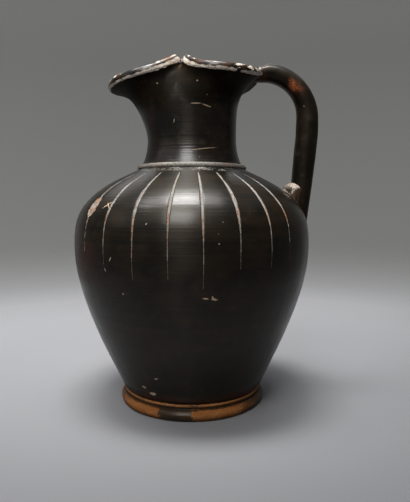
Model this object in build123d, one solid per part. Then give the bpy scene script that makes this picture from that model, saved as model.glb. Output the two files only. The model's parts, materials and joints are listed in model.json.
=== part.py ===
"""Oinochoe: a wheel-thrown jug with a trefoil mouth and one loop handle.

The jug stands on its ring foot, on the plane z = 0, with its axis on Z. The handle is
towards +X and the pouring lobe of the mouth towards -X. Each piece that a potter throws or
rolls on its own, and each layer of luting slip between two of them, is a solid of its own.
"""
import math
import os

from build123d import *

# All sizes are in millimetres and all angles in degrees.

# Luting slip: the thickness of the layer between two joined pieces.
SLIP = 0.4

# Ring foot: a rounded ring with a narrower stem above it
FOOT_RADIUS = 43.8
FOOT_HEIGHT = 6.2
FOOT_ROUND = 2.2
FOOT_BORE_RADIUS = 31.0
FOOT_BORE_TAPER = 2.5
STEM_RADIUS = 40.2
STEM_HEIGHT = 10.0

# Bead round the stem of the foot, under the body
BEAD_HEIGHT = 2.4
BEAD_PROUD = 1.6
BEAD_CLEARANCE = 0.1

# Body: radius and height of the points that its outline runs through
BASE_RADIUS = 42.2
LOWER_RADIUS = 55.2
LOWER_HEIGHT = 39.0
FLANK_RADIUS = 66.0
FLANK_HEIGHT = 69.0
BELLY_RADIUS = 69.8
BELLY_HEIGHT = 96.0
TURN_RADIUS = 65.2
TURN_HEIGHT = 116.0
SHOULDER_RADIUS = 52.5
SHOULDER_HEIGHT = 128.3
COLLAR_HEIGHT = 139.9
BODY_WALL = 4.6
FLOOR_THICKNESS = 5.5
SEAT_DEPTH = 2.8

# Neck and trefoil mouth
NECK_END_RADIUS = 29.8
NECK_WALL = 4.2
THROAT_RADIUS = 26.4
THROAT_HEIGHT = 156.0
SPOUT_REACH = 49.2
SPOUT_HEIGHT = 184.7
SIDE_REACH = 41.7
SIDE_HEIGHT = 188.8
BACK_HEIGHT = 194.0
PINCH_ANGLE = 72.3
PINCH_RADIUS = 18.4
PINCH_HEIGHT = 199.3
PINCH_SPREAD = 27.7
PEAK_SPREAD = 18.8
LIP_THICKNESS = 4.4
LIP_LEAN = 0.6
LIP_ROUND = 0.8

# Ring round the join of neck and shoulder
NECK_RING_SECTION = 1.6
NECK_RING_RADIUS = 31.0
NECK_RING_LIFT = 0.2

# Handle: its centre line and its section
HANDLE_TOP_HEIGHT = 196.2
HANDLE_SEAT_DEPTH = 3.9
HANDLE_SEAT_LIFT = 2.2
HANDLE_REACH = 69.2
HANDLE_BEND = 26.0
BEND_LIMIT = 0.95
HANDLE_KNEE_HEIGHT = 160.0
HANDLE_ROOT_SINK = 6.4
HANDLE_ROOT_HEIGHT = 100.0
HANDLE_TOP_THICKNESS = 10.8
HANDLE_THICKNESS = 13.2
HANDLE_TAIL_THICKNESS = 9.4
HANDLE_WIDTH = 14.0
HANDLE_END_ROUND = 2.5

# Wad of clay round the handle's lower root
WAD_LIFT = 1.4
WAD_OUT = 2.2
WAD_RADIUS = 8.6
WAD_HALF_DEPTH = 7.6

# Values that follow from the sizes above
BODY_BASE = STEM_HEIGHT + SLIP
JOIN_HEIGHT = COLLAR_HEIGHT - SEAT_DEPTH
SEAT_RADIUS = NECK_END_RADIUS + SLIP
OPENING_RADIUS = NECK_END_RADIUS - NECK_WALL
NECK_BASE = JOIN_HEIGHT + SLIP
STEM_TOP = COLLAR_HEIGHT + NECK_RING_LIFT + NECK_RING_SECTION
HANDLE_START = SIDE_REACH - HANDLE_SEAT_DEPTH
HANDLE_SEAT_HEIGHT = BACK_HEIGHT + HANDLE_SEAT_LIFT
HANDLE_ROOT_REACH = BELLY_RADIUS - HANDLE_ROOT_SINK
RING_POINTS = 72


def at(radius, height):
    """A point of a profile, in the plane y = 0."""
    return Vector(radius, 0, height)


def turned(profile):
    """The solid that a flat profile makes when it turns round the axis."""
    return revolve(profile, Axis.Z, 360).solid()


def polygon(points):
    """The flat profile with corners at (radius, height) points."""
    corners = [at(radius, height) for radius, height in points]
    return Face(Wire(Polyline(*corners, close=True).edges()))


def largest(shape):
    """The largest solid of a shape that a cut may have left in pieces."""
    return max(shape.solids(), key=lambda solid: solid.volume)


def curve(points, start=None, end=None):
    """A smooth curve through points, with a start and an end direction if both are given."""
    if start is None or end is None:
        return Spline(*points)
    return Spline(*points, tangents=[start, end])


def body_outline():
    """The outer outline of the body, from its base to the neck seat."""
    upright = Vector(0, 0, 1)
    up_flank = Vector(LOWER_RADIUS - BASE_RADIUS, 0, LOWER_HEIGHT - BODY_BASE)
    up_shoulder = Vector(SEAT_RADIUS - SHOULDER_RADIUS, 0, COLLAR_HEIGHT - SHOULDER_HEIGHT)
    lower = curve(
        [
            at(BASE_RADIUS, BODY_BASE),
            at(LOWER_RADIUS, LOWER_HEIGHT),
            at(FLANK_RADIUS, FLANK_HEIGHT),
            at(BELLY_RADIUS, BELLY_HEIGHT),
        ],
        up_flank,
        upright,
    )
    upper = curve(
        [
            at(BELLY_RADIUS, BELLY_HEIGHT),
            at(TURN_RADIUS, TURN_HEIGHT),
            at(SHOULDER_RADIUS, SHOULDER_HEIGHT),
            at(SEAT_RADIUS, COLLAR_HEIGHT),
        ],
        upright,
        up_shoulder,
    )
    return Wire([lower, upper])


def moved_outline(distance):
    """The body's outline, moved out by a distance, in two curves that meet at the belly."""
    outline = body_outline()
    belly = fraction_at(outline, BELLY_HEIGHT)
    upright = Vector(0, 0, 1)
    below = [beside(outline, belly * step / 6, distance) for step in range(7)]
    above = [beside(outline, belly + (1 - belly) * step / 6, distance) for step in range(7)]
    lower = curve(below, outline.tangent_at(0), upright)
    upper = curve(above, upright, outline.tangent_at(1))
    return Wire([lower, upper])


def beside(outline, fraction, distance):
    """A point at a distance outside the outline, at a fraction of its length."""
    place = outline.position_at(fraction)
    along = outline.tangent_at(fraction)
    return at(place.X + distance * along.Z, place.Z - distance * along.X)


def fraction_at(outline, height):
    """The fraction of the outline's length at which it reaches a height."""
    low = 0.0
    high = 1.0
    for _ in range(40):
        middle = (low + high) / 2
        if outline.position_at(middle).Z < height:
            low = middle
        else:
            high = middle
    return low


def filled_profile(grow=0.0):
    """The profile of the body without its hollow, for seating other pieces on it."""
    outline = body_outline()
    if grow > 0.0:
        outline = moved_outline(grow)
    start = outline.position_at(0)
    end = outline.position_at(1)
    rest = Polyline(end, at(0, end.Z), at(0, start.Z), start)
    return Face(Wire([*outline.edges(), *rest.edges()]))


def make_body():
    """The thrown body: belly, shoulder, floor and the stepped seat of the neck."""
    outline = body_outline()
    belly = fraction_at(outline, BELLY_HEIGHT)
    upright = Vector(0, 0, 1)
    floor = BODY_BASE + FLOOR_THICKNESS
    below = [at(0.62 * BASE_RADIUS, floor)]
    for share in (0.22, 0.48, 0.74, 1.0):
        below.append(beside(outline, belly * share, -BODY_WALL))
    above = []
    for share in (0.0, 0.35, 0.65):
        above.append(beside(outline, belly + (1 - belly) * share, -BODY_WALL))
    above.append(at(OPENING_RADIUS, JOIN_HEIGHT - BODY_WALL))
    inside_below = curve(below, Vector(1, 0, 0), upright)
    inside_above = curve(above, upright, outline.tangent_at(1))
    rim = Polyline(
        outline.position_at(1),
        at(SEAT_RADIUS, JOIN_HEIGHT),
        at(OPENING_RADIUS, JOIN_HEIGHT),
        above[-1],
    )
    bottom = Polyline(below[0], at(0, floor), at(0, BODY_BASE), outline.position_at(0))
    edges = [*outline.edges(), *rim.edges(), inside_above, inside_below, *bottom.edges()]
    return turned(Face(Wire(edges)))


def make_foot():
    """The ring foot: flat under, rounded outside, with a stem and a tapering recess."""
    flat = FOOT_RADIUS - FOOT_ROUND
    face = ThreePointArc(
        at(flat, 0),
        at(FOOT_RADIUS, FOOT_HEIGHT / 2),
        at(flat, FOOT_HEIGHT),
    )
    rest = Polyline(
        at(flat, FOOT_HEIGHT),
        at(STEM_RADIUS, FOOT_HEIGHT),
        at(STEM_RADIUS, STEM_HEIGHT),
        at(FOOT_BORE_RADIUS - FOOT_BORE_TAPER, STEM_HEIGHT),
        at(FOOT_BORE_RADIUS, 0),
        at(flat, 0),
    )
    return turned(Face(Wire([face, *rest.edges()])))


def make_foot_slip():
    """The slip between the top of the foot and the base of the body."""
    inner = FOOT_BORE_RADIUS - FOOT_BORE_TAPER
    layer = polygon(
        [
            (inner, STEM_HEIGHT),
            (STEM_RADIUS, STEM_HEIGHT),
            (STEM_RADIUS, BODY_BASE),
            (inner, BODY_BASE),
        ]
    )
    return turned(layer)


def make_foot_bead():
    """The bead round the foot's stem: flat on the stem, rounded outside."""
    top = STEM_HEIGHT - BEAD_CLEARANCE
    low = top - BEAD_HEIGHT
    shoulder = STEM_RADIUS + 0.4 * BEAD_PROUD
    face = ThreePointArc(
        at(shoulder, low),
        at(STEM_RADIUS + BEAD_PROUD, (low + top) / 2),
        at(shoulder, top),
    )
    back = Polyline(
        at(shoulder, top),
        at(STEM_RADIUS, top),
        at(STEM_RADIUS, low),
        at(shoulder, low),
    )
    return turned(Face(Wire([face, *back.edges()])))


def bump(angle, spread):
    """One at a pinch of the lip, falling to nothing over the spread beside it."""
    away = abs(abs(angle) - PINCH_ANGLE) / spread
    return math.exp(-(away**1.4))


def lip_reach(angle):
    """The radius of the lip without its pinches, at an angle from the spout."""
    front = (1 + math.cos(math.radians(angle))) / 2
    return SIDE_REACH + (SPOUT_REACH - SIDE_REACH) * front


def lip_height(angle):
    """The height of the lip's lower edge without its pinches."""
    turn = math.radians(angle)
    front = ((1 + math.cos(turn)) / 2) ** 5.7
    back = ((1 - math.cos(turn)) / 2) ** 20
    lowered = (SPOUT_HEIGHT - SIDE_HEIGHT) * front
    raised = (BACK_HEIGHT - SIDE_HEIGHT) * back
    return SIDE_HEIGHT + lowered + raised


def mouth_place(angle, rise):
    """A point of the mouth's outer surface: angle from the spout, rise from throat to lip."""
    turn = math.radians(angle)
    front = (1 + math.cos(turn)) / 2
    curled = 0.1 + 0.33 * front
    opening = (1 - curled) * rise ** (4.3 - 2.6 * front) + curled * rise**14
    flare = (lip_reach(angle) - THROAT_RADIUS) * opening
    notch = (lip_reach(PINCH_ANGLE) - PINCH_RADIUS) * bump(angle, PINCH_SPREAD)
    peak = (PINCH_HEIGHT - lip_height(PINCH_ANGLE)) * bump(angle, PEAK_SPREAD)
    radius = THROAT_RADIUS + flare - notch * rise**4.5
    level = THROAT_HEIGHT + (lip_height(angle) + peak - THROAT_HEIGHT) * rise
    return Vector(-radius * math.cos(turn), radius * math.sin(turn), level)


def mouth_point(angle, rise, depth, beyond=0.0):
    """A point at a depth under the outer surface of the mouth, or beyond the lip's edge."""
    step_angle = 0.05
    step_rise = 0.001
    place = mouth_place(angle, rise)
    around = mouth_place(angle + step_angle, rise) - mouth_place(angle - step_angle, rise)
    along = Vector(0, 0, 1)
    if rise > 0.0:
        along = (place - mouth_place(angle, rise - step_rise)).normalized()
    lean = LIP_LEAN * rise**8
    across = around.cross(along).normalized() * (1 - lean) + Vector(0, 0, lean)
    return place + across.normalized() * depth + along * beyond


def ring_wire(points):
    """A smooth closed wire through points that go once round the axis."""
    edge = Edge.make_spline(points, periodic=True, parameters=list(range(len(points) + 1)))
    return Wire([edge])


def ring_angles():
    """The angles from the spout of the points of each ring."""
    return [360 * index / RING_POINTS - 180 for index in range(RING_POINTS)]


def mouth_ring(rise, depth, beyond=0.0):
    """A ring of the mouth at one rise, at a depth under its outer surface."""
    return ring_wire([mouth_point(angle, rise, depth, beyond) for angle in ring_angles()])


def round_ring(radius, height):
    """A round ring of the neck."""
    points = []
    for angle in ring_angles():
        turn = math.radians(angle)
        points.append(Vector(-radius * math.cos(turn), radius * math.sin(turn), height))
    return ring_wire(points)


def neck_blank():
    """Neck and mouth in one piece, before the handle's seat is cut into the lip."""
    middle_radius = THROAT_RADIUS + 0.3 * (NECK_END_RADIUS - THROAT_RADIUS)
    middle_height = STEM_TOP + 0.45 * (THROAT_HEIGHT - STEM_TOP)
    stem = [
        (NECK_END_RADIUS, NECK_BASE),
        (NECK_END_RADIUS, STEM_TOP),
        (middle_radius, middle_height),
    ]
    rises = [0.0, 0.35, 0.6, 0.78, 0.88, 0.94, 0.975, 1.0]
    outer = [round_ring(radius, height) for radius, height in stem]
    inner = [round_ring(radius - NECK_WALL, height) for radius, height in stem]
    for rise in rises:
        wall = NECK_WALL + (LIP_THICKNESS - NECK_WALL) * rise
        outer.append(mouth_ring(rise, 0.0))
        inner.append(mouth_ring(rise, wall))
    edge = mouth_ring(1.0, LIP_THICKNESS / 2, LIP_ROUND)
    sheets = [
        Shell.make_loft(outer[:2], ruled=True),
        Shell.make_loft(outer[1:]),
        Shell.make_loft([outer[-1], edge, inner[-1]]),
        Shell.make_loft(inner[1:]),
        Shell.make_loft(inner[:2], ruled=True),
    ]
    faces = [face for sheet in sheets for face in sheet.faces()]
    faces.append(Face(outer[0], [inner[0]]))
    return Solid(Shell(faces))


def make_neck_slip():
    """The slip in the seat of the neck: under its end and round its side."""
    layer = polygon(
        [
            (OPENING_RADIUS, JOIN_HEIGHT),
            (SEAT_RADIUS, JOIN_HEIGHT),
            (SEAT_RADIUS, COLLAR_HEIGHT),
            (NECK_END_RADIUS, COLLAR_HEIGHT),
            (NECK_END_RADIUS, NECK_BASE),
            (OPENING_RADIUS, NECK_BASE),
        ]
    )
    return turned(layer)


def make_neck_ring():
    """The coil of clay round the join of neck and shoulder."""
    centre = at(NECK_RING_RADIUS, COLLAR_HEIGHT + NECK_RING_LIFT)
    coil = Plane(origin=centre, z_dir=(0, -1, 0)) * Circle(NECK_RING_SECTION)
    neck = polygon(
        [
            (0, COLLAR_HEIGHT - NECK_RING_SECTION),
            (NECK_END_RADIUS, COLLAR_HEIGHT - NECK_RING_SECTION),
            (NECK_END_RADIUS, STEM_TOP + NECK_RING_SECTION),
            (0, STEM_TOP + NECK_RING_SECTION),
        ]
    )
    section = coil - filled_profile() - neck
    return turned(section.face())


def handle_rod():
    """The handle before its ends are fitted: a plug for the lip's seat, then the loop."""
    level = Vector(1, 0, 0)
    across = Vector(0, 1, 0)
    top = HANDLE_TOP_THICKNESS
    full = HANDLE_THICKNESS
    tail = HANDLE_TAIL_THICKNESS
    narrow = HANDLE_WIDTH * HANDLE_TOP_THICKNESS / HANDLE_THICKNESS
    seat = Plane(origin=at(HANDLE_START, HANDLE_SEAT_HEIGHT), x_dir=across, z_dir=level)
    lip_edge = at(SIDE_REACH, HANDLE_SEAT_HEIGHT)
    corner = at(HANDLE_REACH, HANDLE_TOP_HEIGHT)
    knee = at(HANDLE_REACH, HANDLE_KNEE_HEIGHT)
    root = at(HANDLE_ROOT_REACH, HANDLE_ROOT_HEIGHT)
    run = (corner - lip_edge).length
    drop = (knee - corner).length
    turn = math.radians((corner - lip_edge).get_angle(knee - corner))
    bend = min(HANDLE_BEND, BEND_LIMIT * min(run, drop) / math.tan(turn / 2))
    centre_line = FilletPolyline(lip_edge, corner, knee, root, radius=bend)
    stations = [
        (0.0, top, narrow),
        (0.12, 0.8 * top + 0.2 * full, 0.8 * narrow + 0.2 * HANDLE_WIDTH),
        (0.25, 0.5 * (top + full), 0.5 * (narrow + HANDLE_WIDTH)),
        (0.4, full, HANDLE_WIDTH),
        (0.55, full, HANDLE_WIDTH),
        (0.7, 0.96 * full, HANDLE_WIDTH),
        (0.84, 0.9 * full, HANDLE_WIDTH),
        (0.93, 0.5 * (full + tail), 0.9 * HANDLE_WIDTH),
        (1.0, tail, 0.75 * HANDLE_WIDTH),
    ]
    sections = [seat * Ellipse(narrow / 2, top / 2)]
    for fraction, thickness, width in stations:
        direction = centre_line % fraction
        if fraction == 0.0:
            direction = level
        place = Plane(origin=centre_line @ fraction, x_dir=across, z_dir=direction)
        sections.append(place * Ellipse(width / 2, thickness / 2))
    rod = loft(sections)
    end = rod.faces().sort_by(Axis.X)[0]
    return fillet(end.edges(), HANDLE_END_ROUND).solid()


def crease_height(outline):
    """The height at which the inner face of the handle meets the shoulder."""
    lean = (HANDLE_REACH - HANDLE_ROOT_REACH) / (HANDLE_KNEE_HEIGHT - HANDLE_ROOT_HEIGHT)
    low = BELLY_HEIGHT
    high = COLLAR_HEIGHT
    for _ in range(30):
        middle = (low + high) / 2
        centre = HANDLE_REACH - lean * (HANDLE_KNEE_HEIGHT - middle)
        radius = outline.position_at(fraction_at(outline, middle)).X
        if radius > centre - HANDLE_THICKNESS / 2:
            low = middle
        else:
            high = middle
    return low


def make_wad(rod, filled):
    """The wad of clay pressed round the handle where it meets the shoulder."""
    outline = body_outline()
    height = crease_height(outline) + WAD_LIFT
    place = outline.position_at(fraction_at(outline, height))
    half = EllipticalCenterArc(
        (0, 0, 0),
        WAD_RADIUS,
        WAD_HALF_DEPTH,
        start_angle=-90,
        arc_size=180,
    )
    chord = Line((0, WAD_HALF_DEPTH, 0), (0, -WAD_HALF_DEPTH, 0))
    lump = revolve(Face(Wire([half, chord])), Axis.Y, 360)
    pressed = Pos(place.X + WAD_OUT, 0, place.Z) * Rot(0, 0, 90) * lump
    return largest(pressed - [rod, filled])


def seat_layer(rod):
    """The layer in front of the handle's end, at the bottom of its seat in the lip."""
    end = rod.faces().sort_by(Axis.X)[0]
    return extrude(end, SLIP, dir=(-1, 0, 0))


def main():
    body = make_body()
    filled = turned(filled_profile())
    filled_grown = turned(filled_profile(SLIP))
    rod = handle_rod()
    blank = neck_blank()
    layer = seat_layer(rod)
    nodes = {
        "body": body,
        "foot": make_foot(),
        "foot_bead": make_foot_bead(),
        "foot_slip": make_foot_slip(),
        "neck_and_mouth": largest(blank - [rod, layer]),
        "neck_ring": make_neck_ring(),
        "neck_slip": make_neck_slip(),
        "handle": largest(rod - filled_grown),
        "handle_collar": make_wad(rod, filled),
        "handle_root_slip": largest((rod & filled_grown) - filled),
        "handle_top_slip": largest(layer & blank),
    }
    os.makedirs("parts", exist_ok=True)
    for name, solid in nodes.items():
        export_step(solid, f"parts/{name}.step")
        box = solid.bounding_box()
        print(name, solid.is_valid, round(solid.volume, 1), box.min, box.max)


main()
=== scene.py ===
# %% [markdown]
# # A black-gloss oinochoe
# An oinochoe is a wine jug with a trefoil mouth. This one is thrown on the wheel, coated
# with a fine black-firing slip, and scored with thin strokes on the shoulder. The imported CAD
# model gives the sizes and places; this script makes the skin that the eye sees: the
# hand-made surface, the worn slip and the clay that shows through it.

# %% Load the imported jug
import json
import math
import random
from functools import partial

import bmesh
import bpy
import numpy as np
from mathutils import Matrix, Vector, noise

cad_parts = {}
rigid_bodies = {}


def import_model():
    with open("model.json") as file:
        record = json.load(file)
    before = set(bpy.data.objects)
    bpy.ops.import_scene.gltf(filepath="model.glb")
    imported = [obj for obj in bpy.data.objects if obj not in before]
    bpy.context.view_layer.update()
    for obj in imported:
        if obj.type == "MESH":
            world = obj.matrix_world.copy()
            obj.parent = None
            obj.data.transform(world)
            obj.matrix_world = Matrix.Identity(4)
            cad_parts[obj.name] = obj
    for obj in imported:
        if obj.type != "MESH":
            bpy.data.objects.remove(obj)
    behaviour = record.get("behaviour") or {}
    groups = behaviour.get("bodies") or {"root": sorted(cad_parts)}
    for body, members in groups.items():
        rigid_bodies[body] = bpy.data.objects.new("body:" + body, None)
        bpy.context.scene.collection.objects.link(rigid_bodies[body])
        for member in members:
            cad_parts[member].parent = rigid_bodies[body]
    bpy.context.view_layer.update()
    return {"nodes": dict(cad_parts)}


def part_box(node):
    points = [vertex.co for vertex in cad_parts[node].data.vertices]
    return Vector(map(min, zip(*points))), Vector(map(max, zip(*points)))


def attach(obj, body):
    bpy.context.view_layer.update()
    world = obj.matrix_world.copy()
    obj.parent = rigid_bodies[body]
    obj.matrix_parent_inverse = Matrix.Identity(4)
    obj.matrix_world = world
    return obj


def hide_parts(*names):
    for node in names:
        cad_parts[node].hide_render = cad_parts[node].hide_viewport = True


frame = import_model()

# %% [markdown]
# ## Rings make a pot
# A pot is a stack of rings, so nearly every piece here is a grid of points: rings with equal
# numbers of points, joined by quads. The Screw modifier could turn the round pieces, but a
# grid lets each ring be pressed, scored and chipped by itself. Sizes are in millimetres and
# become metres only when the mesh is made.

# %% Grid of rings to mesh
MM = 0.001


def surface(name, rings, closed):
    """A piece through rings of points: the ends are joined if closed, and capped if not."""
    rings = np.asarray(rings, float)
    rows, columns = rings.shape[:2]
    index = np.arange(rows * columns).reshape(rows, columns)
    low = index if closed else index[:-1]
    high = np.roll(index, -1, axis=0) if closed else index[1:]
    quads = np.stack(
        [low, np.roll(low, -1, axis=1), np.roll(high, -1, axis=1), high], axis=-1
    )
    faces = quads.reshape(-1, 4).tolist()
    if not closed:
        faces.append(index[0].tolist())
        faces.append(index[-1].tolist())
    mesh = bpy.data.meshes.new(name)
    mesh.from_pydata((rings.reshape(-1, 3) * MM).tolist(), [], faces)
    shell = bmesh.new()
    shell.from_mesh(mesh)
    bmesh.ops.recalc_face_normals(shell, faces=shell.faces)
    shell.to_mesh(mesh)
    shell.free()
    mesh.shade_smooth()
    piece = bpy.data.objects.new(name, mesh)
    bpy.context.scene.collection.objects.link(piece)
    return piece


def dress(piece, node, material):
    """Puts a piece in the place of its CAD node."""
    piece.data.materials.append(material)
    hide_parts(node)
    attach(piece, "root")
    print(piece.name, "stands for", node, "with", len(piece.data.vertices), "vertices")


# %% [markdown]
# ## Wear is painted on the vertices
# Slip wears off where hands and shelves rub it, so wear follows the shape. A painted picture
# wrapped round the jug could hold it, but numbers on the vertices need no unwrapping. There
# are five: bare is where the slip is gone, pale is how light the clay under it is, thin is
# where the slip is so thin that it fired red, dull is where it was never burnished, and along
# is the way up the wall, which places the wheel's lines.

# %% Paint and noise


def paint(piece, **layers):
    """Keeps named numbers from zero to one on the vertices, for the material to read."""
    for name, values in layers.items():
        layer = piece.data.attributes.new(name, "FLOAT", "POINT")
        clipped = np.clip(np.asarray(values, float).ravel(), 0, 1)
        layer.data.foreach_set("value", clipped.astype(np.float32))


def smooth_step(low, high, value):
    """Zero below low, one above high and a soft slope between."""
    share = np.clip((value - low) / (high - low), 0, 1)
    return share * share * (3 - 2 * share)


def rough(points, size, seed=0.0):
    """Smooth noise from -1 to 1 at each point, for lumps of a size in millimetres."""
    flat = np.asarray(points, float).reshape(-1, 3) / size + seed
    values = [noise.noise(Vector(place)) for place in flat]
    return np.array(values).reshape(np.asarray(points).shape[:-1])


def rough_along(values, size, seed=0.0):
    """Smooth noise from -1 to 1 along one line."""
    return np.array([noise.noise(Vector((value / size, seed, 0.5))) for value in values])


# %% [markdown]
# ## Materials
# The clay is iron-rich earthenware that fires orange-brown and is matt. The black is not a
# glass glaze but a slip of the finest clay, burnished by its own tiny plates and turned
# black in a smoky kiln: to the eye, a deep brown-black with a satin shine over it, and thin
# places that fired red. Fine lines from the wheel stretch each highlight upwards. Slip and
# clay could be two materials on two sets of faces; here one material holds both, so that
# grit can break the edge between them.

# %% Colour and node helpers


def colour(code):
    """Linear colour of an sRGB hex value."""
    channels = [int(code[start : start + 2], 16) / 255 for start in (1, 3, 5)]
    linear = [c / 12.92 if c < 0.04045 else ((c + 0.055) / 1.055) ** 2.4 for c in channels]
    return (*linear, 1.0)


def add(tree, kind, inputs=(), **settings):
    """Adds a node with its settings; an input is a value, a socket or a node's first output."""
    node = tree.nodes.new("ShaderNode" + kind)
    for key, value in settings.items():
        setattr(node, key, value)
    for socket, value in dict(inputs).items():
        if isinstance(value, bpy.types.Node):
            value = value.outputs[0]
        if isinstance(value, bpy.types.NodeSocket):
            tree.links.new(value, node.inputs[socket])
        else:
            node.inputs[socket].default_value = value
    return node


def per_metre(size):
    """Scale of a pattern whose features have a size in millimetres."""
    return 1 / (size * MM)


# %% Marks of wear
# Each mark: angle from the front in degrees (right is positive), radius and height, half
# width and half length in millimetres, and slant in degrees.
MARKS = [
    ("belly chip", 9.2, 66.9, 72.6, 1.3, 0.55, 12),
    ("belly chip arm", 8.6, 66.9, 73.3, 0.4, 0.9, -25),
    ("belly chip tail", 5.6, 67.0, 73.1, 1.5, 0.35, 8),
    ("star scratch", -43.4, 63.5, 118.4, 0.28, 3.0, 58),
    ("star scratch across", -42.4, 63.6, 118.2, 0.28, 2.6, -52),
    ("neck scratch", 4.5, 27.6, 173.5, 2.4, 0.26, 0),
    ("neck scratch end", 17.0, 27.6, 172.5, 2.8, 0.22, 16),
    ("long neck scratch", 15.5, 27.0, 149.4, 6.6, 0.15, -7),
    ("low chip", -35.8, 45.8, 18.3, 1.2, 0.7, 20),
    ("low chip beside", -29.5, 44.2, 14.8, 1.8, 0.9, 0),
    ("low scratch", -23.4, 49.2, 25.6, 1.1, 0.35, -20),
    ("speck", -31.1, 67.3, 74.0, 0.42, 0.42, 0),
    ("scratch by a stroke", -36.2, 69.4, 91.5, 0.22, 1.2, 30),
    ("scratch by a stroke's end", -39.7, 68.6, 85.6, 0.2, 1.1, -25),
    ("shoulder speck", -19.0, 68.2, 109.3, 0.24, 0.45, 40),
    ("turn speck", 12.6, 67.9, 110.3, 0.22, 0.22, 0),
    ("flank speck", 10.6, 69.7, 99.9, 0.3, 0.3, 0),
    ("neck speck", 5.8, 27.6, 185.1, 0.4, 0.35, 0),
    ("neck speck right", 33.3, 28.1, 182.9, 0.5, 0.35, 0),
    ("neck speck left", -39.4, 27.7, 184.8, 0.6, 0.35, 0),
    ("neck speck low", -21.7, 27.0, 164.5, 0.2, 0.9, 10),
]
print("marks of wear:", ", ".join(mark[0] for mark in MARKS))

# %% Distance to a mark
MARK_DEPTH = 3.0
FAR_AWAY = 1000.0


def worn_marks(put, place):
    """Distance to the nearest mark, where one is the mark's edge."""
    nearest = FAR_AWAY
    for _, angle, radius, height, half_width, half_length, slant in MARKS:
        turn = math.radians(angle)
        centre = (radius * MM * math.sin(turn), -radius * MM * math.cos(turn), height * MM)
        rotation = (0, math.radians(slant), turn)
        size = (half_width * MM, MARK_DEPTH * MM, half_length * MM)
        frame_of_mark = {"Vector": place, "Location": centre, "Rotation": rotation, "Scale": size}
        mark = put("Mapping", frame_of_mark, vector_type="TEXTURE")
        away = put("VectorMath", {0: mark}, operation="LENGTH").outputs["Value"]
        nearest = put("Math", {0: away, 1: nearest}, operation="MINIMUM")
    return nearest


# %% Grit, clouds and wheel lines
# Size in millimetres of each noise, and how many finer copies lie on it. Clay grain and wheel
# lines are finer than this on the jug; they are drawn at these sizes so that they show at all
# in a picture with two pixels to a millimetre.
NOISES = {"grit": (0.7, 3.0), "grain": (0.3, 2.0), "cloud": (13.0, 4.0), "smudge": (5.0, 6.0)}
WHEEL_NOISES = {"line": (0.9, 2.0), "band": (3.6, 2.0)}


def textures(put, place):
    """The noises that the layers share, by name; those of the wheel run up the wall."""
    made = {}
    for name, (size, detail) in NOISES.items():
        spread = {"Vector": place, "Scale": per_metre(size), "Detail": detail}
        made[name] = put("TexNoise", spread)
    along = put("Attribute", attribute_name="along").outputs["Fac"]
    for name, (size, detail) in WHEEL_NOISES.items():
        spread = {"W": along, "Scale": per_metre(size), "Detail": detail}
        made[name] = put("TexNoise", spread, noise_dimensions="1D")
    return made


# %% Layer of slip
RGBA = {"data_type": "RGBA"}
SMOOTH = {"interpolation_type": "SMOOTHSTEP"}
BAND_SHARE = 0.35
DUST = 0.022


def slip_layer(put, texture, thin, shade):
    """Black where it lies thick, brown in clouds and bands, red where thin, faintly dusty."""
    clouds = {0: texture["band"], 1: BAND_SHARE, 2: texture["cloud"]}
    banded = put("Math", clouds, operation="MULTIPLY_ADD")
    depth = put("MapRange", {"Value": banded, "From Min": 0.5, "From Max": 0.9}, **SMOOTH)
    slip = put("Mix", {0: depth, 6: shade["black"], 7: shade["brown"]}, **RGBA).outputs[2]
    patchy = put("Math", {0: texture["grit"], 1: 0.8, 2: thin}, operation="MULTIPLY_ADD")
    reddened = put("MapRange", {"Value": patchy, "From Min": 0.5, "From Max": 1.3}, **SMOOTH)
    slip = put("Mix", {0: reddened, 6: slip, 7: shade["red"]}, **RGBA).outputs[2]
    in_pores = {"Value": texture["smudge"], "From Min": 0.52, "From Max": 0.8, "To Max": DUST}
    dust = put("MapRange", in_pores, **SMOOTH)
    return put("Mix", {0: dust, 6: slip, 7: shade["pale"]}, **RGBA).outputs[2], reddened


# %% Worn and flaked places
SPECK_SPACING = 4.2
SPECK_REACH = 0.5
SPECK_RARITY = 0.41
SPECK_STRENGTH = 0.5
SPECK_EDGE = 0.02


def worn_places(put, place, texture, bare):
    """Where the slip is gone: its edge is ragged by the grit, and small specks flaked off."""
    ragged = put("Math", {0: texture["grit"], 1: 0.9, 2: bare}, operation="MULTIPLY_ADD")
    worn = put("MapRange", {"Value": ragged, "From Min": 0.85, "From Max": 1.05}, **SMOOTH)
    cells = put("TexVoronoi", {"Vector": place, "Scale": per_metre(SPECK_SPACING)})
    chance = put("SeparateColor", {"Color": cells.outputs["Color"]}).outputs["Red"]
    reach = put("Math", {0: chance, 1: SPECK_REACH, 2: -SPECK_RARITY}, operation="MULTIPLY_ADD")
    inside = put("Math", {0: reach, 1: cells.outputs["Distance"]}, operation="SUBTRACT")
    flake = {"Value": inside, "From Min": 0.0, "From Max": SPECK_EDGE, "To Max": SPECK_STRENGTH}
    speck = put("MapRange", flake, **SMOOTH)
    return put("Math", {0: worn, 1: speck}, operation="MAXIMUM")


# %% Clay under the slip
FRESH_BREAK = "#BFB09A"


def clay_layer(put, texture, pale, shade, grime):
    """Orange-brown, paler where it was rubbed, darker where grime sits between grains."""
    dusty = put("Math", {0: texture["grain"], 1: 0.8, 2: pale}, operation="MULTIPLY_ADD")
    lightness = put("MapRange", {"Value": dusty, "From Min": 0.35, "From Max": 1.15}, **SMOOTH)
    clay = put("Mix", {0: lightness, 6: shade["clay"], 7: shade["pale"]}, **RGBA).outputs[2]
    in_pits = {"Value": texture["grit"], "From Min": 0.3, "From Max": 0.6, "To Min": grime}
    dirt = put("MapRange", in_pits, **SMOOTH)
    return put("Mix", {0: 1.0, 6: clay, 7: dirt}, **RGBA, blend_type="MULTIPLY").outputs[2]


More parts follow.
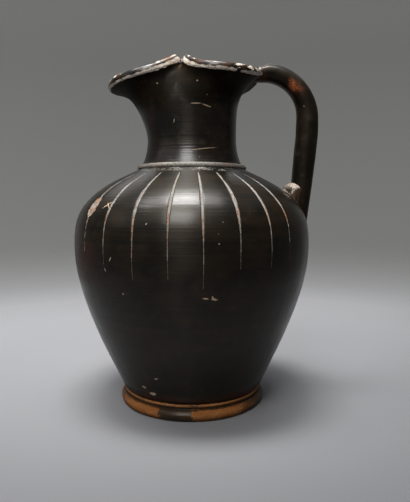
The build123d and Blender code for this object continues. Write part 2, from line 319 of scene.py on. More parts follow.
def chipped_places(put, place, texture):
    """Where the slip was knocked off in marks, with an edge that the grit breaks."""
    broken = put("Math", {0: texture["grit"], 1: -1.8, 2: 1.9}, operation="MULTIPLY_ADD")
    away = put("Math", {0: worn_marks(put, place), 1: broken}, operation="SUBTRACT")
    return put("MapRange", {"Value": away, "From Min": 0.2, "From Max": -0.1}, **SMOOTH)


# %% Relief of the surface
RELIEF = 0.1
SLIP_STEP = 0.5


def relief_bump(put, texture, worn, lines):
    """Wheel lines in the slip, grains in the clay, and the step between the two."""
    grains = put("Math", {0: texture["grain"], 1: worn}, operation="MULTIPLY")
    stepped = put("Math", {0: worn, 1: -SLIP_STEP, 2: grains}, operation="MULTIPLY_ADD")
    relief = put("Math", {0: texture["line"], 1: lines, 2: stepped}, operation="MULTIPLY_ADD")
    return put("Bump", {"Height": relief, "Strength": 1.0, "Distance": RELIEF * MM})


# %% Slip over clay
# The shine is a satin slip under a thin burnished face, and the clay is matt. The wheel's
# finest lines comb the shine upwards, which the quarter turn of the anisotropy gives.
SATIN = {"From Min": 0.3, "From Max": 0.7, "To Min": 0.33, "To Max": 0.43}
MATT = 0.9
WARM_TINT = "#FFF2DC"
QUARTER_TURN = 0.25
SLIP_IOR = 1.45
BURNISH_IOR = 2.0


def slip_over_clay(
    name, grime, gloss, sheen=0.19, polish=0.18, lines=0.0, combed=0.0, marked=False, **shades
):
    """Burnished slip over fired clay, worn where the painted numbers say so."""
    material = bpy.data.materials.new(name)
    material.use_nodes = True
    material.node_tree.nodes.clear()
    put = partial(add, material.node_tree)
    shade = {layer: colour(code) for layer, code in shades.items()}
    place = put("TexCoord").outputs["Object"]
    texture = textures(put, place)
    painted = {}
    for layer in ("bare", "pale", "thin", "dull"):
        painted[layer] = put("Attribute", attribute_name=layer).outputs["Fac"]
    slip, reddened = slip_layer(put, texture, painted["thin"], shade)
    worn = worn_places(put, place, texture, painted["bare"])
    clay = clay_layer(put, texture, painted["pale"], shade, grime)
    if marked:
        chipped = chipped_places(put, place, texture)
        grainy = {0: texture["grain"], 6: shade["clay"], 7: colour(FRESH_BREAK)}
        fresh = put("Mix", grainy, **RGBA).outputs[2]
        clay = put("Mix", {0: chipped, 6: clay, 7: fresh}, **RGBA).outputs[2]
        worn = put("Math", {0: worn, 1: chipped}, operation="MAXIMUM")
    flat = put("Math", {0: painted["dull"], 1: reddened}, operation="MAXIMUM")
    unburnished = put("Math", {0: worn, 1: flat}, operation="MAXIMUM")
    satin = put("MapRange", {"Value": texture["cloud"], **SATIN})
    bump = relief_bump(put, texture, worn, lines)
    shader = put(
        "BsdfPrincipled",
        {
            "Base Color": put("Mix", {0: worn, 6: slip, 7: clay}, **RGBA).outputs[2],
            "Roughness": put("Mix", {0: unburnished, 2: satin, 3: MATT}, data_type="FLOAT"),
            "IOR": SLIP_IOR,
            "Specular IOR Level": sheen,
            "Specular Tint": colour(WARM_TINT),
            "Anisotropic": combed,
            "Anisotropic Rotation": QUARTER_TURN,
            "Tangent": put("Tangent", direction_type="RADIAL", axis="Z"),
            "Coat Weight": put(
                "Math", {0: unburnished, 1: -gloss, 2: gloss}, operation="MULTIPLY_ADD"
            ),
            "Coat Roughness": polish,
            "Coat IOR": BURNISH_IOR,
            "Normal": bump,
            "Coat Normal": bump,
        },
    )
    put("OutputMaterial", {"Surface": shader})
    return material


# %% Black gloss
NEAR_BLACK = {"black": "#0C0B07", "brown": "#1B130B"}
WHEEL_MADE = {"lines": 0.8, "combed": 0.9, "marked": True}

# Thrown and dipped: near black, with a satin shine that the wheel's lines comb upwards.
black_gloss = slip_over_clay(
    "black_gloss_slip_on_thrown_earthenware",
    **NEAR_BLACK,
    **WHEEL_MADE,
    red="#3E2014",
    clay="#83583A",
    pale="#89857E",
    grime=0.4,
    gloss=0.14,
    sheen=0.17,
    polish=0.21,
)

# The same slip rubbed by hands: a softer, broader shine, and pale clay where the lip is worn.
black_gloss_handled = slip_over_clay(
    "black_gloss_slip_rubbed_by_hands_on_thrown_earthenware",
    **NEAR_BLACK,
    **WHEEL_MADE,
    red="#4A3020",
    clay="#8A6444",
    pale="#D2C8BB",
    grime=0.5,
    gloss=0.27,
    sheen=0.11,
    polish=0.27,
)

# On the rolled handle: no wheel lines, a duller black, and a warm red where it is thin.
black_gloss_rolled = slip_over_clay(
    "black_gloss_slip_on_rolled_earthenware",
    **NEAR_BLACK,
    red="#5A2C16",
    clay="#924E26",
    pale="#D0C6B8",
    grime=0.55,
    gloss=0.066,
)

# %% Thin slip and bare clay
# Thin slip on the pressed wad: brown, shiny on the high places and rubbed pale there.
rubbed_slip = slip_over_clay(
    "thin_slip_rubbed_on_pressed_earthenware",
    black="#16110B",
    brown="#33271C",
    red="#5A3C28",
    clay="#84603F",
    pale="#9F968A",
    grime=0.7,
    gloss=0.18,
)

# The turned foot without slip: matt orange-brown, dark where slip and stains cover it and
# where shade is painted on it.
bare_clay = slip_over_clay(
    "bare_turned_earthenware",
    black="#271E15",
    brown="#33281C",
    red="#502A14",
    clay="#804E26",
    pale="#946640",
    lines=0.8,
    grime=0.55,
    gloss=0.024,
)

# The slip that glues the pieces: dull red-brown, seen only where a joint is open.
luting_slip = slip_over_clay(
    "luting_slip_in_joints",
    black="#2A1C12",
    brown="#3A2415",
    red="#4A2A18",
    clay="#7A4526",
    pale="#A8774C",
    grime=0.8,
    gloss=0.03,
)
print("materials:", [material.name for material in bpy.data.materials])

# %% [markdown]
# ## The body and its strokes
# The potter throws the body as one closed curve from foot to neck. Its outline is read from
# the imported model, so the skin lies on the CAD solid. The strokes were scored into the
# shoulder with a point and filled with pale clay: they are real grooves here. The grid's
# columns follow the strokes, with narrow columns across each groove and wide ones between,
# which keeps the edges crisp with few vertices.

# %% Outline from the frame
FACING = 0.2
OUTLINE_DEGREE = 16


def node_rings(node, outward):
    """Radius and height of a round CAD node's rings, on its outer or its inner side."""
    mesh = frame["nodes"][node].data
    places = np.array([vertex.co for vertex in mesh.vertices]) / MM
    normals = np.array([vertex.normal for vertex in mesh.vertices])
    radius = np.hypot(places[:, 0], places[:, 1])
    facing = (places[:, :2] * normals[:, :2]).sum(axis=1) / np.maximum(radius, 1e-6)
    chosen = facing > FACING if outward else facing < -FACING
    pairs = np.round(np.stack([places[chosen, 2], radius[chosen]], axis=1), 2)
    pairs = np.unique(pairs, axis=0)
    return pairs[:, 1], pairs[:, 0]


body_radius, body_height = node_rings("body", True)
outline_fit = np.polynomial.Chebyshev.fit(body_height, body_radius, OUTLINE_DEGREE)
fit_error = np.abs(outline_fit(body_height) - body_radius).max()
print("body outline:", len(body_radius), "points, fitted within", round(fit_error, 3), "mm")

# %% Rings along the outline
BASE_HEIGHT = body_height.min()
COLLAR_HEIGHT = body_height.max()
FINE_FROM = 70.0
COARSE_STEP = 2.0
FINE_STEP = 0.64
OUTLINE_SAMPLES = 4000


def outline_rows():
    """Heights of the body's rings: wide steps below the strokes, narrow ones along them."""
    dense = np.linspace(BASE_HEIGHT, COLLAR_HEIGHT, OUTLINE_SAMPLES)
    steps = np.hypot(np.diff(dense), np.diff(outline_fit(dense)))
    length = np.concatenate([[0], np.cumsum(steps)])
    turn = np.interp(FINE_FROM, dense, length)
    below = np.linspace(0, turn, int(turn / COARSE_STEP), endpoint=False)
    above = np.linspace(turn, length[-1], int((length[-1] - turn) / FINE_STEP))
    return np.interp(np.concatenate([below, above]), length, dense)


rows = outline_rows()
outer_radius = outline_fit(rows)
slope = outline_fit.deriv()(rows)
out_radial = 1 / np.hypot(1, slope)
out_upward = -slope / np.hypot(1, slope)
print("rings on the outer side of the body:", len(rows))

# %% Strokes
# Angle from the front in degrees, and height in millimetres of the lower end, for the
# strokes that the front shows. The far side has the same spacing with its own unevenness.
# Two plain places beside the handle have columns of their own, to keep the grid even.
FRONT_STROKES = [
    (-70.0, 95.0),
    (-55.2, 83.0),
    (-40.2, 88.0),
    (-25.2, 81.6),
    (-9.9, 82.5),
    (4.6, 78.0),
    (19.7, 87.0),
    (34.7, 87.0),
    (46.8, 90.0),
    (68.0, 104.0),
]
STROKE_STEP = 15.0
FAR_FIRST = 110.0
FAR_COUNT = 12
FAR_UNEVEN = 1.2
FAR_ENDS = (79, 92)
PLAIN_COLUMNS = [82.0, 96.0]
STROKE_TOP = 135.8
STROKE_WIDTH = 1.65
STROKE_DEPTH = 0.45
WIDTH_UNEVEN = 0.25
UNEVEN_LENGTH = 3.0
# Width of a stroke along it, from its top to its end, both as shares of the whole.
WIDTH_SHARES = [0.0, 0.03, 0.28, 0.45, 0.62, 0.8, 1.0]
WIDTHS_ALONG = [0.3, 0.6, 1.0, 0.85, 0.45, 0.18, 0.07]

random.seed(11)
strokes = [(angle, end, True) for angle, end in FRONT_STROKES]
for step in range(FAR_COUNT):
    angle = FAR_FIRST + STROKE_STEP * step + random.uniform(-FAR_UNEVEN, FAR_UNEVEN)
    strokes.append((angle, random.uniform(*FAR_ENDS), True))
strokes.extend((angle, STROKE_TOP - 1, False) for angle in PLAIN_COLUMNS)
strokes = sorted(((angle + 180) % 360 - 180, end, scored) for angle, end, scored in strokes)
print("strokes:", sum(scored for _, _, scored in strokes))

# %% Length and width of a stroke


def share_down(end):
    """How far down a stroke each ring is, from zero at its top to one at its end."""
    return (STROKE_TOP - rows) / (STROKE_TOP - end)


def stroke_half_width(end, seed):
    """Half the width of a stroke at each ring: thin at the top, full, then a long taper."""
    share = share_down(end)
    width = STROKE_WIDTH * np.interp(share, WIDTH_SHARES, WIDTHS_ALONG)
    width = width * (share >= 0) * (share <= 1)
    return 0.5 * width * (1 + WIDTH_UNEVEN * rough_along(rows, UNEVEN_LENGTH, seed))


# %% Chip on the left shoulder
# The slip has broken away along one stroke, so that stroke widens into a chip there.
CHIP_STROKE = -55.2
CHIP_HEIGHT = 117.4
CHIP_HALF_LENGTH = 5.2
CHIP_HALF_WIDTH = 4.4
CHIP_BLUNTNESS = 0.4
CHIP_UNEVEN = 0.3


def chip_half_width(angle):
    """Half the width of the broken slip at each ring."""
    if abs(angle - CHIP_STROKE) > 0.01:
        return np.zeros(len(rows))
    away = (rows - CHIP_HEIGHT) / CHIP_HALF_LENGTH
    ragged = 1 + CHIP_UNEVEN * rough_along(rows, 1.4, 5.0)
    return CHIP_HALF_WIDTH * np.clip(1 - away**2, 0, 1) ** CHIP_BLUNTNESS * ragged


# %% Strokes at each ring
WANDER = 0.45
WANDER_LENGTH = 25
centres = np.zeros((len(rows), len(strokes)))
half_widths = np.zeros_like(centres)
chips = np.zeros_like(centres)
shares_down = np.zeros_like(centres)
for number, (angle, end, scored) in enumerate(strokes):
    centres[:, number] = angle + WANDER * rough_along(rows, WANDER_LENGTH, number * 3.7)
    shares_down[:, number] = share_down(end)
    if scored:
        half_widths[:, number] = stroke_half_width(end, number * 7.3)
    chips[:, number] = chip_half_width(angle)
print("widest stroke:", round(2 * half_widths.max(), 2), "mm")
half_widths = np.maximum(half_widths, chips)

# %% Columns of the outer side
# A stroke has columns at these shares of its half width, and some more stand between strokes.
ACROSS = np.array([-1.5, -1.02, -0.8, -0.55, -0.25, 0.0, 0.25, 0.55, 0.8, 1.02, 1.5])
BETWEEN = 5
LEAST_SPREAD = 0.55
spread = np.maximum(LEAST_SPREAD, half_widths)
across_mm = spread[:, :, None] * ACROSS
across_deg = np.degrees(across_mm / outer_radius[:, None, None])
fine = centres[:, :, None] + across_deg
following = np.roll(fine[:, :, 0], -1, axis=1)
following[:, -1] += 360
fractions = (np.arange(BETWEEN) + 1) / (BETWEEN + 1)
wide = fine[:, :, -1:] + (following[:, :, None] - fine[:, :, -1:]) * fractions
angles = np.concatenate([fine, wide], axis=2)
away = np.concatenate([np.abs(across_mm), np.full(wide.shape, FAR_AWAY)], axis=2)
share_across = away / np.maximum(half_widths[:, :, None], 1e-4)
turns = np.radians(angles).reshape(len(rows), -1)
plain_share = np.broadcast_to(shares_down[:, :, None], angles.shape).reshape(turns.shape)
in_chip = np.broadcast_to((chips > 0.3)[:, :, None], angles.shape).reshape(turns.shape)
print("columns round the body:", turns.shape[1])

# %% Thrown unevenness and grooves
THROWING_RIDGE = 0.04
RIDGE_SPACING = 3.4
OUT_OF_ROUND = 0.18
OUT_OF_ROUND_LENGTH = 55.0


def ring_points(radius, height, turn):
    """Points of a ring; the angle is measured from the front, with right positive."""
    return np.stack(
        np.broadcast_arrays(radius * np.sin(turn), -radius * np.cos(turn), height), axis=-1
    )


plain = ring_points(outer_radius[:, None], rows[:, None], turns)
hollow = np.clip(1 - share_across**4, 0, 1).reshape(turns.shape)
depth = STROKE_DEPTH * np.clip(half_widths / 0.5, 0.2, 1)
depth = np.broadcast_to(depth[:, :, None], angles.shape).reshape(turns.shape)
groove = hollow * depth * (1 + 0.3 * rough(plain, 0.9, 4.0))
swell = THROWING_RIDGE * rough_along(rows, RIDGE_SPACING)[:, None]
swell = swell + OUT_OF_ROUND * rough(plain, OUT_OF_ROUND_LENGTH) - groove
outer = ring_points(
    outer_radius[:, None] + out_radial[:, None] * swell,
    rows[:, None] + out_upward[:, None] * swell,
    turns,
)
print("deepest groove:", round(groove.max(), 2), "mm")

# %% Wear of the strokes
# They are filled with pale clay above, and broken and orange in their lower part.
granular = smooth_step(0.3, 0.45, plain_share) * (1 - smooth_step(0.6, 0.75, plain_share))
grains = rough(plain, 1.1, 23.0)
broken = smooth_step(0.35, 0.6, plain_share) * (0.36 + 0.45 * grains)
broken = broken * (1 - 0.75 * smooth_step(0.58, 0.72, plain_share))
fading = 0.08 * smooth_step(0.5, 0.85, plain_share)
filled = 1 - np.clip(broken + fading, 0, 0.8) * ~in_chip
inside_stroke = (share_across < 0.9) & (half_widths > 0.03)[:, :, None]
stroke_bare = inside_stroke.reshape(turns.shape) * filled
print("filling left in the strokes:", round(filled[stroke_bare > 0].mean(), 2))

# %% Wear of the collar's edge and thin slip on the body
# The edge of the shoulder under the neck ring is rubbed. The slip is thin and reddish in a
# patch on the left flank and all round just above the foot.
COLLAR_RUB_FROM = 3.7
COLLAR_RUB_FULL = 3.1
FLUSH_ANGLE = -62
FLUSH_HALF_ANGLE = 18
FLUSH_HEIGHT = 88
LOW_FLUSH_FULL = 12.0
LOW_FLUSH_END = 17.0
below_collar = COLLAR_HEIGHT - rows[:, None]
collar_edge = 1 - smooth_step(COLLAR_RUB_FULL, COLLAR_RUB_FROM, below_collar)
collar_bare = collar_edge * (0.4 + 0.16 * rough(plain, 6.0, 14.0))
body_bare = np.maximum(stroke_bare, collar_bare)
body_pale = 0.66 + granular * (0.55 * grains - 0.22) + 0.3 * rough(plain, 7.0, 9.0)
body_pale = body_pale + 0.1 * collar_edge
body_pale = np.where(in_chip, 0.42 + 0.4 * rough(plain, 2.5, 9.0), body_pale)
beside_flush = np.abs(np.degrees(turns) - FLUSH_ANGLE) / FLUSH_HALF_ANGLE
left_flush = 1 - smooth_step(0.5, 1.2, beside_flush)
left_flush = left_flush * (1 - smooth_step(8, 20, np.abs(rows - FLUSH_HEIGHT))[:, None])
dipped = rows[:, None] + 2.5 * rough(plain, 8.0, 21.0)
low_flush = 1 - smooth_step(LOW_FLUSH_FULL, LOW_FLUSH_END, dipped)
body_thin = 0.35 * left_flush + 0.5 * low_flush + 0.12 * rough(plain, 12.0, 17.0)
print("rings with a rubbed edge:", int((collar_edge > 0.5).sum()))

# %% Floor, rim and inside of the body
INSIDE_ROWS = 32
inner_radius, inner_height = node_rings("body", False)
seat_radius = inner_radius[inner_height > COLLAR_HEIGHT - 0.05].max()
seat_height = inner_height[np.abs(inner_radius - seat_radius) < 0.05].min()
wall_inside = inner_height < seat_height - 0.5
order = np.argsort(-inner_height[wall_inside])
order = order[np.linspace(0, len(order) - 1, INSIDE_ROWS).astype(int)]
inside = list(zip(inner_radius[wall_inside][order], inner_height[wall_inside][order]))
bore_radius = inside[0][0]
floor_height = inside[-1][1]
AXIS_HOLE = 1.0
UNDERSIDE_RADII = (AXIS_HOLE, 20.0, 38.0)
underside = [(radius, BASE_HEIGHT) for radius in UNDERSIDE_RADII]
rim = [(seat_radius, COLLAR_HEIGHT - 0.2), (seat_radius, seat_height), (bore_radius, seat_height)]
middle = [(0.5 * inside[-1][0], floor_height), (AXIS_HOLE, floor_height)]
under_rows = [ring_points(radius, height, turns[0]) for radius, height in underside]
over_rows = [ring_points(radius, height, turns[-1]) for radius, height in rim + inside + middle]
print("wall at the floor:", round(floor_height - BASE_HEIGHT, 1), "mm")

# %% Body skin
body = surface("jug_body", np.concatenate([under_rows, outer, over_rows]), closed=False)


def whole_body(values):
    """Numbers of the outer side, with zeros for the underside and the inside."""
    below = np.zeros((len(under_rows), turns.shape[1]))
    above = np.zeros((len(over_rows), turns.shape[1]))
    return np.concatenate([below, values, above])


wall_steps = np.hypot(np.diff(rows), np.diff(outer_radius))
wall_length = np.concatenate([[0], np.cumsum(wall_steps)]) * MM
body_along = wall_length[:, None] + 0 * turns
paint(body, bare=whole_body(body_bare), pale=whole_body(body_pale))
paint(body, thin=whole_body(body_thin), along=whole_body(body_along))
dress(body, "body", black_gloss)

# %% [markdown]
# ## Neck and trefoil mouth
# The neck is thrown as a tube, and while it is soft the lip is pressed in at two places, so
# that three lobes stand between: the spout and two sides. A formula gives the place of any
# point from its angle round the lip and its rise from the throat; it is the same formula
# that the CAD solid was lofted from. The lip is where hands and stacking wear a jug most.

# %% Sizes of the mouth
NECK_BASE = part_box("neck_and_mouth")[0].z / MM
NECK_END_RADIUS = 29.8
NECK_WALL = 4.2
STEM_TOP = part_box("neck_ring")[1].z / MM
THROAT_RADIUS = 26.4
THROAT_HEIGHT = 156.0
SPOUT_REACH = 49.2
SPOUT_HEIGHT = 184.7
SIDE_REACH = 41.7
SIDE_HEIGHT = 188.8
BACK_HEIGHT = 194.0
PINCH_ANGLE = 72.3
PINCH_RADIUS = 18.4
PINCH_HEIGHT = 199.3
PINCH_SPREAD = 27.7
PEAK_SPREAD = 18.8
LIP_THICKNESS = 4.4
LIP_LEAN = 0.6
LIP_ROUND = 0.8
PINCH_SHARPNESS = 1.4
PINCH_RISE = 4.5
SPOUT_NARROWNESS = 5.7
BACK_NARROWNESS = 20
SIDE_CURL = 0.1
SPOUT_CURL = 0.33
CURL_RISE = 14
SIDE_FLARE_RISE = 4.3
SPOUT_FLARE_EASE = 2.6
LEAN_RISE = 8
print("neck from", round(NECK_BASE, 1), "mm, ring up to", round(STEM_TOP, 1), "mm")

# %% Lip without and with its pinches


def pinch(angle, spread):
    """One at a pinch of the lip, falling to nothing over the spread beside it."""
    return np.exp(-((np.abs(np.abs(angle) - PINCH_ANGLE) / spread) ** PINCH_SHARPNESS))


def lip_reach(angle):
    """Radius of the lip without its pinches, at an angle from the spout."""
    front = (1 + np.cos(np.radians(angle))) / 2
    return SIDE_REACH + (SPOUT_REACH - SIDE_REACH) * front


def lip_height(angle):
    """Height of the lip's lower edge without its pinches."""
    turn = np.radians(angle)
    front = ((1 + np.cos(turn)) / 2) ** SPOUT_NARROWNESS
    back = ((1 - np.cos(turn)) / 2) ** BACK_NARROWNESS
    lowered = (SPOUT_HEIGHT - SIDE_HEIGHT) * front
    raised = (BACK_HEIGHT - SIDE_HEIGHT) * back
    return SIDE_HEIGHT + lowered + raised


# %% Mouth formula


def mouth_place(angle, rise):
    """Points of the mouth's outer side: angle from the spout, rise from throat to lip."""
    angle = (np.asarray(angle) + 180) % 360 - 180
    turn = np.radians(angle)
    front = (1 + np.cos(turn)) / 2
    curled = SIDE_CURL + SPOUT_CURL * front
    flare_rise = SIDE_FLARE_RISE - SPOUT_FLARE_EASE * front
    opening = (1 - curled) * rise**flare_rise + curled * rise**CURL_RISE
    flare = (lip_reach(angle) - THROAT_RADIUS) * opening
    notch = (lip_reach(PINCH_ANGLE) - PINCH_RADIUS) * pinch(angle, PINCH_SPREAD)
    peak = (PINCH_HEIGHT - lip_height(PINCH_ANGLE)) * pinch(angle, PEAK_SPREAD)
    radius = THROAT_RADIUS + flare - notch * rise**PINCH_RISE
    level = THROAT_HEIGHT + (lip_height(angle) + peak - THROAT_HEIGHT) * rise
    return np.stack(
        np.broadcast_arrays(-radius * np.cos(turn), radius * np.sin(turn), level), axis=-1
    )


# %% Directions on the mouth


def unit(vectors):
    """The same directions with length one."""
    return vectors / np.linalg.norm(vectors, axis=-1, keepdims=True)


def mouth_frame(angle, rise):
    """Place on the outer side, direction into the clay and direction up the wall."""
    place = mouth_place(angle, rise)
    around = mouth_place(angle + 0.05, rise) - mouth_place(angle - 0.05, rise)
    along = np.broadcast_to([0.0, 0.0, 1.0], place.shape)
    if rise > 0:
        along = unit(place - mouth_place(angle, rise - 0.001))
    lean = LIP_LEAN * rise**LEAN_RISE
    across = unit(np.cross(around, along)) * (1 - lean) + np.array([0, 0, lean])
    return place, unit(across), along


# %% Rings of the neck
MOUTH_COLUMNS = 480
MOUTH_ROWS = 60
STEM_ROWS = 20
LIP_ROWS = 16
CROWDING = 1.6
WAIST_NARROWNESS = 0.3
WAIST_RISE = 0.45
THROAT_EVEN = 4
lip_angle = np.arange(MOUTH_COLUMNS) * 360 / MOUTH_COLUMNS - 180
lip_turn = np.radians(lip_angle)
middle_radius = THROAT_RADIUS + WAIST_NARROWNESS * (NECK_END_RADIUS - THROAT_RADIUS)
middle_height = STEM_TOP + WAIST_RISE * (THROAT_HEIGHT - STEM_TOP)
stem_fit = np.polynomial.Polynomial.fit(
    [STEM_TOP, middle_height, THROAT_HEIGHT, THROAT_HEIGHT + THROAT_EVEN],
    [NECK_END_RADIUS, middle_radius, THROAT_RADIUS, THROAT_RADIUS],
    3,
)
stem_levels = np.linspace(STEM_TOP, THROAT_HEIGHT, STEM_ROWS, endpoint=False)
rises = 1 - (1 - np.linspace(0, 1, MOUTH_ROWS)) ** CROWDING
lip_shares = (np.arange(LIP_ROWS) + 1) / (LIP_ROWS + 1)


def stem_ring(radius, height):
    """A round ring of the neck, below the mouth."""
    return np.stack(
        np.broadcast_arrays(-radius * np.cos(lip_turn), radius * np.sin(lip_turn), height),
        axis=-1,
    )


# %% Outside, edge and inside of the neck
outside_rows = [stem_ring(NECK_END_RADIUS, NECK_BASE)]
outside_rows += [stem_ring(stem_fit(level), level) for level in stem_levels]
outside_rows += [mouth_frame(lip_angle, rise)[0] for rise in rises]
lip_place, lip_inward, lip_along = mouth_frame(lip_angle, 1.0)
lip_rows = []
for share in lip_shares:
    beyond = LIP_ROUND * 4 * share * (1 - share)
    lip_rows.append(lip_place + lip_inward * LIP_THICKNESS * share + lip_along * beyond)
inside_rows = []
for rise in rises[::-1][::2]:
    place, inward, _ = mouth_frame(lip_angle, rise)
    wall = NECK_WALL + (LIP_THICKNESS - NECK_WALL) * rise
    inside_rows.append(place + inward * wall)
inside_rows += [stem_ring(stem_fit(level) - NECK_WALL, level) for level in stem_levels[::-1]]
inside_rows += [stem_ring(NECK_END_RADIUS - NECK_WALL, NECK_BASE)]
mouth_rows = np.array(outside_rows + lip_rows + inside_rows)
OUTER_ROWS = len(outside_rows)
print("rings of the neck and mouth:", len(mouth_rows))

# %% Distance from the lip's lower corner
# Measured across the lip: below the corner it is negative, over the edge it is positive.
from_corner = np.zeros(mouth_rows.shape[:2])
drop = np.linalg.norm(np.diff(mouth_rows[:OUTER_ROWS], axis=0), axis=2)
from_corner[: OUTER_ROWS - 1] = -np.cumsum(drop[::-1], axis=0)[::-1]
for row, share in enumerate(lip_shares):
    from_corner[OUTER_ROWS + row] = LIP_THICKNESS * share
from_corner[OUTER_ROWS + LIP_ROWS :] = LIP_THICKNESS + np.arange(len(inside_rows))[:, None]
print("wall under the lip, at most:", round(-from_corner.min(), 1), "mm")

# %% Fold of the pinch
# The lip was folded so sharply at each pinch that its two sides meet in a narrow notch, with
# a crease running down the wall under it.
NOTCH_SPREAD = 2.6
NOTCH_DEPTH = 2.6
CREASE_DEPTH = 0.6
CREASE_LENGTH = 13.0
ROLL_DEPTH = 1.3
fold = np.exp(-((np.abs(np.abs(lip_angle) - PINCH_ANGLE) / NOTCH_SPREAD) ** 2))
near_lip = smooth_step(-5.0, -0.5, from_corner) * (1 - smooth_step(5.0, 9.0, from_corner))
creased = smooth_step(-CREASE_LENGTH, -2.0, from_corner) * (from_corner <= 0)
folded_rows = mouth_rows - NOTCH_DEPTH * (fold * near_lip)[:, :, None] * np.array([0, 0, 1])
folded_rows = folded_rows + CREASE_DEPTH * (fold * creased)[:, :, None] * lip_inward
rolled = smooth_step(-15.0, -0.5, from_corner) * (1 - smooth_step(2.5, 5.5, from_corner))
rolled = ROLL_DEPTH * rolled * pinch(lip_angle, 26.0) * (1 - 0.6 * fold)
folded_rows = folded_rows - rolled[:, :, None] * lip_inward * np.array([1, 1, 0])
print("lip folded by up to", round(np.abs(folded_rows - mouth_rows).max(), 2), "mm")

# %% Wear along the lip's corner
# The lower corner of the lip has lost its slip: broad beside the pinches, narrow at the tip
# of the spout and in patches on the side lobes.
from_spout = np.abs(lip_angle)
near_pinch = pinch(lip_angle, 30.0)
near_spout = np.cos(lip_turn / 2) ** 8
side_lobe = smooth_step(95, 115, from_spout)
band = 0.8 + 1.3 * pinch(lip_angle, 20.0) + 0.25 * side_lobe
ragged = rough(mouth_rows, 2.2, 3.0) + 0.6 * rough(mouth_rows, 0.9, 8.0)
inside_band = smooth_step(-0.7, -0.35, from_corner + 0.55 * ragged)
inside_band *= 1 - smooth_step(0.85, 1.15, (from_corner + 0.5 * ragged) / band)
patches = rough(mouth_rows, 7.0, 1.0) + 0.9 * near_pinch + 0.55 * near_spout
patchy = smooth_step(-0.45, 0.0, patches + 0.2 * side_lobe)
lip_bare = inside_band * patchy * (1 - 0.9 * smooth_step(0.45, 0.8, fold))
print("worn band along the lip:", round(band.min(), 2), "to", round(band.max(), 2), "mm")

# %% Wear on the lip's crest and end face
# The crest, where the inside begins, is worn in places, and the end face flakes beside the
# handle. Where the wear is deep, the clay is chipped back a little.
crest = smooth_step(LIP_THICKNESS - 1.7, LIP_THICKNESS - 1.1, from_corner + 0.4 * ragged)
crest *= 1 - smooth_step(LIP_THICKNESS + 0.1, LIP_THICKNESS + 0.6, from_corner)
spout_side = 1 - smooth_step(55, 70, from_spout)
crest *= smooth_step(-0.25, 0.1, rough(mouth_rows, 5.0, 6.0) - 0.25 * spout_side)
crest *= 1 - smooth_step(98, 110, from_spout)
lip_bare = np.maximum(lip_bare, 0.75 * crest)
end_face = smooth_step(0.5, 1.5, from_corner) * (1 - smooth_step(4.0, 5.0, from_corner))
by_handle = smooth_step(118, 130, from_spout) * (1 - smooth_step(166, 172, from_spout))
flaked = smooth_step(-0.2, 0.2, rough(mouth_rows * [1, 1, 2], 3.2, 56.0))
lip_bare = np.maximum(lip_bare, 0.8 * end_face * by_handle * flaked)
chip_depth = np.clip(0.35 * lip_bare * (1 + ragged), 0, 0.7)
worn_rows = folded_rows + lip_inward * chip_depth[:, :, None]
print("deepest chip in the lip:", round(chip_depth.max(), 2), "mm")

# %% Thin slip and pale clay on the neck
# The slip is thin on the end face, in the crease of each pinch and where the handle sits.
lip_thin = 0.55 * end_face * smooth_step(0.05, 0.35, rough(mouth_rows, 3.5, 16.0))
lip_thin = np.maximum(lip_thin, 0.75 * fold * creased)
seat_thin = smooth_step(165, 174, from_spout) * smooth_step(-6, -2, from_corner)
lip_thin = np.maximum(lip_thin, 0.6 * seat_thin * (from_corner < 9))
neck_thin = 0.25 * smooth_step(0.1, 0.5, rough(mouth_rows, 9.0, 18.0)) * (from_corner < -20)
lip_pale = 0.62 + 0.45 * rough(mouth_rows, 5.0, 12.0) + 0.3 * rough(mouth_rows, 1.6, 58.0)
lip_pale = lip_pale - 0.3 * crest - 0.15 * end_face * by_handle
print("points of the neck with thin slip:", int((lip_thin + neck_thin > 0.2).sum()))

# %% Neck skin
# Throwing ridges and a slight unevenness lie on the whole tube. Close under the lip the slip
# is dull.
tube_swell = 0.03 * rough(mouth_rows * [0, 0, 1], 2.6) + 0.12 * rough(mouth_rows, 30.0, 2.0)
worn_rows = worn_rows + unit(mouth_rows * [1, 1, 0]) * tube_swell[:, :, None]
neck = surface("jug_neck_and_mouth", worn_rows, closed=True)
neck_along = mouth_rows[..., 2] * MM
under_lip = smooth_step(-25.0, -15.0, from_corner) * (from_corner < 0.5)
paint(neck, bare=lip_bare, pale=lip_pale, thin=lip_thin + neck_thin)
paint(neck, along=neck_along, dull=under_lip)
dress(neck, "neck_and_mouth", black_gloss_handled)

# %% [markdown]
# ## Neck ring, bead and foot
# A thin coil of clay hides the join of neck and shoulder, and a bead marks the join of foot
# and body. The foot was left free of slip: its clay is bare and orange-brown, with a dark
# patch where the slip ran down. These are turned pieces, so each is a profile and a circle.

# %% Turned pieces
TURNED_COLUMNS = 288
circle = np.arange(TURNED_COLUMNS) * 2 * math.pi / TURNED_COLUMNS - math.pi


def turned(name, profile, uneven, seed):
    """A ring with a closed profile of (radius, height) points, with hand-made unevenness."""
    rings = np.array([ring_points(radius, height, circle) for radius, height in profile])
    lumps = uneven * (rough(rings, 9.0, seed) + 0.5 * rough(rings, 2.0, seed + 5))
    rings = rings + unit(rings * [1, 1, 0]) * lumps[:, :, None]
    return surface(name, rings, closed=True), rings


def filled_in(profile, step):
    """The closed profile with points no further apart than a step."""
    points = []
    for start, end in zip(profile, np.roll(profile, -1, 0)):
        count = max(1, int(np.ceil(np.linalg.norm(np.subtract(end, start)) / step)))
        points.extend(np.linspace(start, end, count, endpoint=False))
    return points
